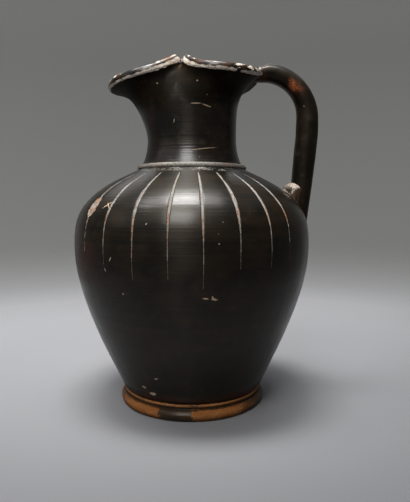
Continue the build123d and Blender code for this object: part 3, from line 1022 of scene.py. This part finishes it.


# %% Neck ring
# The coil is rubbed pale on its upper and outer side, and keeps a dark line underneath. At
# the front its clay is painted paler still, as a painted highlight.
RING_SECTION = 1.6
RING_RADIUS = 31.0
RING_HEIGHT = STEM_TOP - RING_SECTION
RUB_TURN = 0.55
PAINTED_HIGHLIGHT_ANGLE = 50
around = np.linspace(0, 2 * math.pi, 28, endpoint=False)
ring_profile = [
    (RING_RADIUS + RING_SECTION * math.cos(a), RING_HEIGHT + RING_SECTION * math.sin(a))
    for a in around
]
neck_ring, ring_rows = turned("jug_neck_ring", ring_profile, 0.09, 20.0)
rubbed = smooth_step(-0.2, 0.5, np.cos(around - RUB_TURN))[:, None]
# Painted highlight: the clay is paler at the front of the ring.
painted_front_highlight = np.exp(-((np.degrees(circle) / PAINTED_HIGHLIGHT_ANGLE) ** 2))
ring_bare = rubbed * (0.68 + 0.12 * rough(ring_rows, 4.0, 31.0))
ring_pale = 0.5 + 0.25 * painted_front_highlight + 0.3 * rough(ring_rows, 8.0, 33.0)
paint(neck_ring, bare=ring_bare, pale=ring_pale, thin=0.6 * rubbed + 0 * ring_bare)
dress(neck_ring, "neck_ring", black_gloss)

# %% Foot
FOOT_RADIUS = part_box("foot")[1].x / MM
FOOT_HEIGHT = 6.2
FOOT_ROUND = 2.2
STEM_RADIUS = 40.2
STEM_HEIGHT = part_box("foot")[1].z / MM
FOOT_BORE_RADIUS = 31.0
FOOT_BORE_TAPER = 2.5
bulge = np.linspace(-1, 1, 15)
foot_profile = [
    (FOOT_RADIUS - FOOT_ROUND * b * b, FOOT_HEIGHT / 2 + FOOT_HEIGHT / 2 * b) for b in bulge
]
foot_profile += [
    (STEM_RADIUS, FOOT_HEIGHT),
    (STEM_RADIUS, STEM_HEIGHT),
    (FOOT_BORE_RADIUS - FOOT_BORE_TAPER, STEM_HEIGHT),
    (FOOT_BORE_RADIUS, 0.0),
]
foot, foot_rows = turned("jug_foot", filled_in(foot_profile, 1.0), 0.05, 40.0)
print("foot:", round(2 * FOOT_RADIUS, 1), "mm wide,", len(foot_rows), "rings")

# %% Wear of the foot
# Slip ran down in one patch at the front. The right side and, less, the left end are painted
# darker, as painted shade, and so is the top of the foot by the groove under the bead; the
# foot is also darker towards the sole.
PATCH_ANGLE = -13.0
PATCH_HALF = 14.0
foot_side = np.degrees(circle)
foot_ragged = rough(foot_rows, 6.0, 44.0) + 0.5 * rough(foot_rows, 1.8, 45.0)
patch_share = np.abs(foot_side - PATCH_ANGLE) / PATCH_HALF + 0.35 * foot_ragged
patch = 1 - smooth_step(0.6, 1.3, patch_share)
stained = smooth_step(0.25, 0.6, rough(foot_rows * [1, 1, 3], 11.0, 47.0))
# Painted shade: the top of the foot by the groove is darker.
painted_groove_shade = smooth_step(FOOT_HEIGHT - 0.7, FOOT_HEIGHT, foot_rows[..., 2])
sole_dark = 1 - smooth_step(0.2, 1.2, foot_rows[..., 2] + 0.4 * foot_ragged)
covered = np.maximum(np.maximum(0.92 * patch, 0.4 * stained), 0.6 * painted_groove_shade)
# Painted shade: the right side and the far left end are darker.
painted_side_shade = smooth_step(8.0, 60.0, foot_side + 12 * foot_ragged)
painted_side_shade = np.maximum(painted_side_shade, 0.9 * smooth_step(28.0, 75.0, 12 * foot_ragged - foot_side))
covered = np.maximum(np.maximum(covered, 0.5 * sole_dark), 0.62 * painted_side_shade)
paint(
    foot,
    along=foot_rows[..., 2] * MM,
    bare=1 - covered,
    pale=0.2 + 0.35 * rough(foot_rows * [1, 1, 4], 8.0, 49.0),
    thin=(0.3 + 0.3 * foot_ragged) * (1 - patch),
)
dress(foot, "foot", bare_clay)

# %% Bead
# Its crown is rubbed, and it is darker above and below it, towards the grooves.
bead_low, bead_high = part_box("foot_bead")
BEAD_TOP = bead_high.z / MM
BEAD_LOW = bead_low.z / MM
BEAD_RADIUS = bead_high.x / MM
BEAD_PROUD = BEAD_RADIUS - STEM_RADIUS
BEAD_MIDDLE = 0.5 * (BEAD_TOP + BEAD_LOW)
CROWN_HALF = 1.1
bead_bulge = np.linspace(-1, 1, 11)
bead_profile = [
    (
        BEAD_RADIUS - 0.6 * BEAD_PROUD * b * b,
        BEAD_MIDDLE + 0.5 * (BEAD_TOP - BEAD_LOW) * b,
    )
    for b in bead_bulge
]
bead_profile += [(STEM_RADIUS, BEAD_TOP), (STEM_RADIUS, BEAD_LOW)]
bead, bead_rows = turned("jug_foot_bead", bead_profile, 0.06, 60.0)
off_crown = np.abs(bead_rows[..., 2] - BEAD_MIDDLE) / CROWN_HALF
crown = 1 - smooth_step(0.55, 1.0, off_crown)
paint(
    bead,
    bare=0.15 + 0.5 * crown + 0.3 * rough(bead_rows, 6.0, 63.0),
    pale=0.5 + 0.4 * rough(bead_rows, 7.0, 66.0),
    thin=0.5 + 0 * crown,
)
dress(bead, "foot_bead", bare_clay)

# %% [markdown]
# ## Handle
# The handle is a roll of clay, pulled a little flat, bent over and pressed on at both ends.
# A curve with a bevel could give it, but its thickness and width change along the way, so it
# is rings again, swept along a centre line: level from the lip, round a bend, and down to the
# shoulder, where it thins to a tail smoothed onto the belly.

# %% Centre line of the handle
HANDLE_START = SIDE_REACH - 3.9
HANDLE_TOP = 196.2
HANDLE_REACH = 69.2
HANDLE_BEND = 26.0
KNEE_HEIGHT = 160.0
KNEE_SOFTNESS = 4.0
ROOT_REACH = 63.4
ROOT_HEIGHT = 100.0
HANDLE_STEP = 0.7
HANDLE_SOFTEN = 25


def handle_line():
    """Points of the handle's centre line, as (x, z)."""
    level = [(x, HANDLE_TOP) for x in np.linspace(HANDLE_START, HANDLE_REACH - HANDLE_BEND, 8)]
    bend = []
    for a in np.linspace(0, math.pi / 2, 60)[1:]:
        x = HANDLE_REACH - HANDLE_BEND + HANDLE_BEND * math.sin(a)
        bend.append((x, HANDLE_TOP - HANDLE_BEND + HANDLE_BEND * math.cos(a)))
    lean = (HANDLE_REACH - ROOT_REACH) / (KNEE_HEIGHT - ROOT_HEIGHT)
    down = []
    for height in np.linspace(HANDLE_TOP - HANDLE_BEND, ROOT_HEIGHT, 90)[1:]:
        below = KNEE_HEIGHT - height
        soft = 0.5 * (below + math.sqrt(below * below + KNEE_SOFTNESS))
        down.append((HANDLE_REACH - lean * soft, height))
    return np.array(level + bend + down)


def softened(values):
    """Values along the handle, smoothed over a few steps."""
    weights = np.hanning(HANDLE_SOFTEN)
    padded = np.pad(values, HANDLE_SOFTEN // 2, mode="edge")
    return np.convolve(padded, weights / weights.sum(), "valid")


# %% Places and headings along the handle
line = handle_line()
along = np.concatenate([[0], np.cumsum(np.linalg.norm(np.diff(line, axis=0), axis=1))])
samples = np.linspace(0, along[-1], int(along[-1] / HANDLE_STEP))
centre = np.stack([np.interp(samples, along, line[:, axis]) for axis in (0, 1)], axis=1)
heading = np.gradient(centre, axis=0)
heading = unit(np.stack([softened(heading[:, 0]), softened(heading[:, 1])], axis=1))
print("handle length along its centre line:", round(along[-1], 1), "mm")

# %% Sections of the handle
TOP_THICKNESS = 10.8
FULL_THICKNESS = 13.2
TAIL_THICKNESS = 9.4
HANDLE_WIDTH = 14.0
HANDLE_COLUMNS = 72
TOP_NARROW = TOP_THICKNESS / FULL_THICKNESS
TAIL_THIN = TAIL_THICKNESS / FULL_THICKNESS
# Share of the way from the lip, and there the shares of the full thickness and width.
SECTIONS = [
    (0.0, 0.82, TOP_NARROW),
    (0.05, 0.82, TOP_NARROW),
    (0.28, 0.91, 0.91),
    (0.42, 1.0, 1.0),
    (0.57, 1.0, 1.0),
    (0.71, 0.96, 1.0),
    (0.85, 0.9, 1.0),
    (0.93, 0.86, 0.9),
    (1.0, TAIL_THIN, 0.75),
]
stations, thick_shares, wide_shares = np.transpose(SECTIONS)
share_along = samples / along[-1]
thickness = FULL_THICKNESS * softened(np.interp(share_along, stations, thick_shares))
width = HANDLE_WIDTH * softened(np.interp(share_along, stations, wide_shares))
print("handle thickness:", round(thickness.min(), 1), "to", round(thickness.max(), 1), "mm")

# %% Rings of the handle
# At the upper end the top side is pressed down onto the lip.
PRESSED_LENGTH = 8.0
PRESSED_LEFT = 0.3
round_turn = np.arange(HANDLE_COLUMNS) * 2 * math.pi / HANDLE_COLUMNS
pressed = smooth_step(0, PRESSED_LENGTH, samples)
pressed = PRESSED_LEFT + (1 - PRESSED_LEFT) * pressed
upper_side = np.clip(np.cos(round_turn), 0, 1)
press = 1 - (1 - pressed)[:, None] * upper_side
half_thick = 0.5 * thickness[:, None] * np.cos(round_turn) * press
half_wide = 0.5 * width[:, None] * np.sin(round_turn)
handle_rows = np.stack(
    [
        centre[:, 0, None] - heading[:, 1, None] * half_thick,
        half_wide,
        centre[:, 1, None] + heading[:, 0, None] * half_thick,
    ],
    axis=-1,
)
print("rings of the handle:", len(handle_rows))

# %% Handle skin
# Below the shoulder's surface the tail is kept just under the body's skin.
TAIL_SINK = 2.0
radial = np.hypot(handle_rows[..., 0], handle_rows[..., 1])
inside_height = np.clip(handle_rows[..., 2], BASE_HEIGHT, COLLAR_HEIGHT)
wall = outline_fit(inside_height) - TAIL_SINK
sunk = (handle_rows[..., 2] < COLLAR_HEIGHT) & (radial < wall)
push = np.where(sunk, wall / np.maximum(radial, 1e-6), 1.0)
handle_rows[..., :2] *= push[:, :, None]
lumps = 0.14 * rough(handle_rows, 16.0, 70.0) + 0.05 * rough(handle_rows, 4.0, 72.0)
flat_centre = np.stack([centre[:, 0], 0 * centre[:, 0], centre[:, 1]], axis=-1)[:, None, :]
lumps = np.where(sunk, 0, lumps)[:, :, None]
handle_rows = handle_rows + unit(handle_rows - flat_centre) * lumps
handle = surface("jug_handle", handle_rows, closed=False)

# %% Wear of the handle
# The slip is worn thin and red along the side of the bend and at the upper joint, and one
# pale dot has flaked off below the bend.
RED_WEAR = np.array([60.6, -5.0, 187.3])
RED_WEAR_SIZE = np.array([6.4, 6.0, 3.3])
LIGHT_DOT = np.array([65.5, -6.8, 176.0])
LIGHT_DOT_SIZE = 1.3
SEAM_FULL = 5.5
SEAM_END = 8.5
from_wear = handle_rows - RED_WEAR
down_bend = (from_wear[..., 0] - from_wear[..., 2]) / math.sqrt(2)
over_bend = (from_wear[..., 0] + from_wear[..., 2]) / math.sqrt(2)
from_wear = np.stack([down_bend, from_wear[..., 1], over_bend], axis=-1)
gap = np.linalg.norm(from_wear / RED_WEAR_SIZE, axis=-1)
red_wear = 1 - smooth_step(0.3, 1.4, gap + 0.5 * rough(handle_rows, 3.5, 75.0))
from_dot = np.linalg.norm(handle_rows - LIGHT_DOT, axis=-1) / LIGHT_DOT_SIZE
dot = 1 - smooth_step(0.5, 1.1, from_dot)
seam_edge = samples[:, None] + 2.0 * rough(handle_rows, 4.0, 78.0)
seam = 1 - smooth_step(SEAM_FULL, SEAM_END, seam_edge)
handle_thin = np.maximum(0.7 * red_wear, 0.3 * seam) + 0.25 * rough(handle_rows, 7.0, 79.0)
paint(handle, bare=np.maximum(0.6 * dot, 0.52 * red_wear), pale=dot, thin=handle_thin)
dress(handle, "handle", black_gloss_rolled)

# %% [markdown]
# ## Wad at the handle's root
# Where the handle meets the shoulder, a wad of soft clay was pressed into the corner and
# smoothed with a finger. The CAD piece is already cut to the handle and the body, so its
# mesh is copied, remeshed evenly and given a thumbed surface. The slip on it is rubbed pale.

# %% Even mesh of the wad
WAD_VOXEL = 0.4
WAD_RELAX = 6
wad_mesh = frame["nodes"]["handle_collar"].data.copy()
wad_mesh.materials.clear()
wad = bpy.data.objects.new("jug_handle_collar", wad_mesh)
bpy.context.scene.collection.objects.link(wad)
remesh = wad.modifiers.new("even", "REMESH")
remesh.mode = "VOXEL"
remesh.voxel_size = WAD_VOXEL * MM
relax = wad.modifiers.new("relax", "SMOOTH")
relax.iterations = WAD_RELAX
bpy.context.view_layer.update()
evaluated = wad.evaluated_get(bpy.context.evaluated_depsgraph_get())
even_mesh = bpy.data.meshes.new_from_object(evaluated)
wad.modifiers.clear()
wad.data = even_mesh
places = np.array([vertex.co for vertex in even_mesh.vertices]) / MM
normals = np.array([vertex.normal for vertex in even_mesh.vertices])
wad_middle = 0.5 * (places.min(axis=0) + places.max(axis=0))
wad_top = places[:, 2].max()
print("wad:", len(places), "vertices, up to a height of", round(wad_top, 1), "mm")

# %% Distance from the body


def off_body(points):
    """Distance of each point from the body's outer side, and the way out of it."""
    height = np.clip(points[:, 2], BASE_HEIGHT, COLLAR_HEIGHT)
    radius = np.hypot(points[:, 0], points[:, 1])
    lean = outline_fit.deriv()(height)
    out = np.stack([points[:, 0] / radius, points[:, 1] / radius, -lean], axis=1)
    steep = np.hypot(1, lean)
    return (radius - outline_fit(height)) / steep, out / steep[:, None]


# %% Thumbed surface of the wad
# The wad is drawn out and moved towards the handle, pressed down at the top and smeared thin
# below. No point ends further off the body than it was.
WAD_SMEAR = np.array([1.1, 1.12, 1.0])
WAD_SHIFT = 3.4
WAD_LIFT = 0.9
WAD_PRESS = 0.1
PRESS_DEPTH = 5.0
WAD_FLAT = 0.7
SMEAR_FROM = 3.5
SMEAR_FULL = 8.0
thumbed = wad_middle + (places - wad_middle) * WAD_SMEAR
thumbed[:, 0] += WAD_SHIFT
thumbed[:, 2] += WAD_LIFT
thumbed[:, 2] -= WAD_PRESS * np.clip(thumbed[:, 2] - wad_top + PRESS_DEPTH, 0, None)
thumbed = thumbed + normals * (0.2 * rough(places, 4.0, 80.0))[:, None]
before, _ = off_body(places)
after, out = off_body(thumbed)
smeared = smooth_step(SMEAR_FROM, SMEAR_FULL, wad_top - places[:, 2])
thick = before * (1 - WAD_FLAT * smeared)
thumbed = thumbed + out * np.minimum(thick - after, 0)[:, None]
even_mesh.vertices.foreach_set("co", (thumbed * MM).ravel())
even_mesh.shade_smooth()
print("wad moved by up to", round(np.linalg.norm(thumbed - places, axis=1).max(), 1), "mm")

# %% Wear of the wad
# Its top and some of its side are rubbed, and its edge on the body is bare. The side towards
# the handle keeps its slip.
wad_rim = smooth_step(-5.5, -2.0, places[:, 2] - wad_top + 1.5 * rough(places, 3.0, 83.0))
side = smooth_step(0.1, 0.6, rough(places, 5.0, 84.0))
foot_line = 1 - smooth_step(0.6, 1.8, before)
behind = places[:, 0] - wad_middle[0] + 0.4 * (wad_top - places[:, 2])
handle_side = smooth_step(3.0, 6.5, behind)
wad_worn = np.maximum(np.maximum(wad_rim, 0.7 * side) * (1 - handle_side), foot_line)
paint(
    wad,
    bare=0.2 + 0.42 * wad_worn + 0.15 * rough(places, 2.0, 85.0),
    pale=0.55 + 0.3 * rough(places, 3.0, 88.0),
    thin=0.3 + 0.3 * rough(places, 3.0, 90.0),
)
dress(wad, "handle_collar", rubbed_slip)

# %% [markdown]
# ## Slip in the joints
# The leather-hard pieces are glued with slip, which is the same clay let down with water. It
# lies inside the seats and shows only where a joint is open, so its CAD shape is right as it
# is and only gets its material.

# %% Slip in the joints
SLIP_NODES = ["foot_slip", "neck_slip", "handle_root_slip", "handle_top_slip"]
for node in SLIP_NODES:
    for slot in frame["nodes"][node].material_slots:
        slot.material = luting_slip
    print(node, "keeps its CAD mesh, with", len(frame["nodes"][node].material_slots), "slot")

# %% [markdown]
# ## Studio
# The jug stands on a paper sweep that curves up all round, so that no horizon shows. A wide
# soft box with a brighter core hangs overhead, a little to the left, and makes the bright
# patch on the shoulder. A tall strip stands in front beside the camera and makes the soft
# stripe down the neck, a panel behind the jug lights the floor there, and a weak box fills
# the left side. Black gloss mirrors all it sees, so the sides of the sweep are raised and
# dark, as a photographer's flags are, and behind the jug it darkens as it climbs.

# %% Sweep
FLOOR_RINGS = (1, 40, 70, 100, 130, 160, 200, 250, 340)
FLOOR_RADIUS = 420.0
CURVE_RADIUS = 430.0
WALL_HEIGHT = 620.0
FLAG_RISE = 400.0
FLAG_FROM = 38.0
FLAG_FULL = 65.0
sweep_profile = [(radius, 0.0) for radius in FLOOR_RINGS]
for a in np.linspace(0, math.pi / 2, 28):
    sweep_profile.append(
        (FLOOR_RADIUS + CURVE_RADIUS * math.sin(a), CURVE_RADIUS * (1 - math.cos(a)))
    )
sweep_profile.append((FLOOR_RADIUS + CURVE_RADIUS, WALL_HEIGHT))
sweep_turn = np.linspace(-math.pi, math.pi, 128, endpoint=False)
sweep_rings = np.array([ring_points(r, z, sweep_turn) for r, z in sweep_profile])
from_back = np.degrees(math.pi - np.abs(sweep_turn))
at_side = smooth_step(FLAG_FROM, FLAG_FULL, from_back)
sweep_rings[-1, :, 2] += FLAG_RISE * at_side
sweep = surface("studio_sweep", sweep_rings, closed=False)
print("sweep:", len(sweep_profile), "rings, up to a height of", sweep_rings[..., 2].max(), "mm")

# %% Open the top of the sweep
# The cap over the last ring would shut out the light.
opened = bmesh.new()
opened.from_mesh(sweep.data)
opened.faces.ensure_lookup_table()
bmesh.ops.delete(opened, geom=[opened.faces[-1]], context="FACES_ONLY")
opened.to_mesh(sweep.data)
opened.free()
sweep.data.flip_normals()
print("faces of the sweep:", len(sweep.data.polygons))

# %% Light and dark of the sweep
# The floor is painted lighter towards the back and the left and round the foot, as painted
# light, and so it is darker at the front and the right, as painted shade. The wall is one
# middle grey, and both are dark at the sides.
PAINTED_FOOT_LIGHT = 0.35
PAINTED_FOOT_LIGHT_RADIUS = 110.0
sweep_steps = np.linalg.norm(np.diff(sweep_profile, axis=0), axis=1)
sweep_length = np.concatenate([[0], np.cumsum(sweep_steps)])[:, None]
climb = smooth_step(280.0, 660.0, sweep_length) + 0 * sweep_rings[..., 2]
# Painted light: lighter towards the back and the left, darker at the front and the right.
lighter = smooth_step(-300.0, 300.0, sweep_rings[..., 1] - 0.22 * sweep_rings[..., 0])
from_axis = np.hypot(sweep_rings[..., 0], sweep_rings[..., 1])
# Painted light: a pool of light painted round the foot.
lighter = lighter + PAINTED_FOOT_LIGHT * np.exp(-((from_axis / PAINTED_FOOT_LIGHT_RADIUS) ** 2))
wall_sides = at_side * smooth_step(280.0, 480.0, sweep_length)
floor_sides = smooth_step(55.0, 80.0, from_back) * smooth_step(180.0, 330.0, sweep_length)
flagged = np.maximum(wall_sides, floor_sides)
paint(sweep, climb=climb, lighter=lighter, flagged=flagged)
print("dark share of the sweep's points:", round((flagged > 0.5).mean(), 2))

# %% Paper of the sweep
# Matt coated paper without shine, with a faint fibrous cloudiness, and with the floor's
# painted light and shade mixed into its grey.
FIBRE = 16.0
# Front and back are the floor's painted shade and painted light.
PAPER_SHADES = {"front": "#3E3F41", "back": "#818183", "wall": "#545452", "side": "#2C2C2B"}
paper = bpy.data.materials.new("matt_studio_paper")
paper.use_nodes = True
paper.node_tree.nodes.clear()
put = partial(add, paper.node_tree)
paper_place = put("TexCoord").outputs["Object"]
fibre = put("TexNoise", {"Vector": paper_place, "Scale": per_metre(FIBRE), "Detail": 3.0})
painted = {}
for layer in ("climb", "lighter", "flagged"):
    painted[layer] = put("Attribute", attribute_name=layer).outputs["Fac"]
cloudy = put("Math", {0: fibre, 1: 0.06, 2: painted["climb"]}, operation="MULTIPLY_ADD")
grey = colour(PAPER_SHADES["front"])
for share, shade in ((painted["lighter"], "back"), (cloudy, "wall"), (painted["flagged"], "side")):
    grey = put("Mix", {0: share, 6: grey, 7: colour(PAPER_SHADES[shade])}, **RGBA).outputs[2]
paper_shader = put("BsdfPrincipled", {"Base Color": grey, "Roughness": MATT})
put("OutputMaterial", {"Surface": paper_shader})
sweep.data.materials.append(paper)
print("paper:", len(paper.node_tree.nodes), "nodes")

# %% Lamps
# Places, targets and sizes are in metres here, and powers in watts.


def soft_box(name, place, target, size, power):
    """A rectangular lamp that faces a target and stays out of the picture."""
    lamp = bpy.data.lights.new(name, "AREA")
    lamp.shape = "RECTANGLE"
    lamp.size, lamp.size_y = size
    lamp.energy = power
    holder = bpy.data.objects.new(name, lamp)
    holder.location = place
    aim = Vector(target) - Vector(place)
    holder.rotation_euler = aim.to_track_quat("-Z", "Y").to_euler()
    holder.visible_camera = False
    bpy.context.scene.collection.objects.link(holder)
    print(name, "at", place, "with", power, "watts")


JUG_MIDDLE = (0.0, 0.0, 0.1)
UNDER_OVERHEAD = (-0.09, 0.0, 0.1)
soft_box("overhead_core", (-0.09, -0.08, 1.1), UNDER_OVERHEAD, (0.34, 0.2), 12.5)
soft_box("overhead_box", (-0.17, -0.08, 1.12), (-0.17, 0.0, 0.1), (1.0, 0.32), 12.5)
soft_box("back_panel", (-0.45, 1.1, 1.0), JUG_MIDDLE, (1.8, 0.7), 6.0)
soft_box("front_strip", (-0.19, -0.76, 0.72), JUG_MIDDLE, (0.38, 0.8), 11.8)
soft_box("left_box", (-0.8, -0.25, 0.4), JUG_MIDDLE, (0.8, 0.7), 1.2)

# %% Air of the studio
# A weak, even, slightly cool light from all round opens the shadows.
AIR_STRENGTH = 0.5
world = bpy.data.worlds.new("studio_air")
bpy.context.scene.world = world
world.use_nodes = True
background = world.node_tree.nodes["Background"]
background.inputs["Color"].default_value = colour("#E2E6EC")
background.inputs["Strength"].default_value = AIR_STRENGTH
print("world:", world.name, "with strength", AIR_STRENGTH)

# %% Camera
# Its place, angles and focal length were fitted to the jug's outline.
CAMERA_PLACE = (0.0, -0.311, 0.1195)
CAMERA_PITCH = -5.4
CAMERA_TURN = -1.437
FOCAL_PIXELS = 510.0
IMAGE_HEIGHT = 502.0
SENSOR = 36.0
camera_data = bpy.data.cameras.new("camera")
camera_data.sensor_width = SENSOR
camera_data.lens = FOCAL_PIXELS / IMAGE_HEIGHT * SENSOR
camera = bpy.data.objects.new("camera", camera_data)
camera.location = CAMERA_PLACE
camera.rotation_euler = (math.radians(90 + CAMERA_PITCH), 0.0, math.radians(CAMERA_TURN))
bpy.context.scene.collection.objects.link(camera)
bpy.context.scene.camera = camera
bpy.context.scene.view_settings.view_transform = "Standard"
print("camera:", round(camera_data.lens, 1), "mm lens at", CAMERA_PLACE)
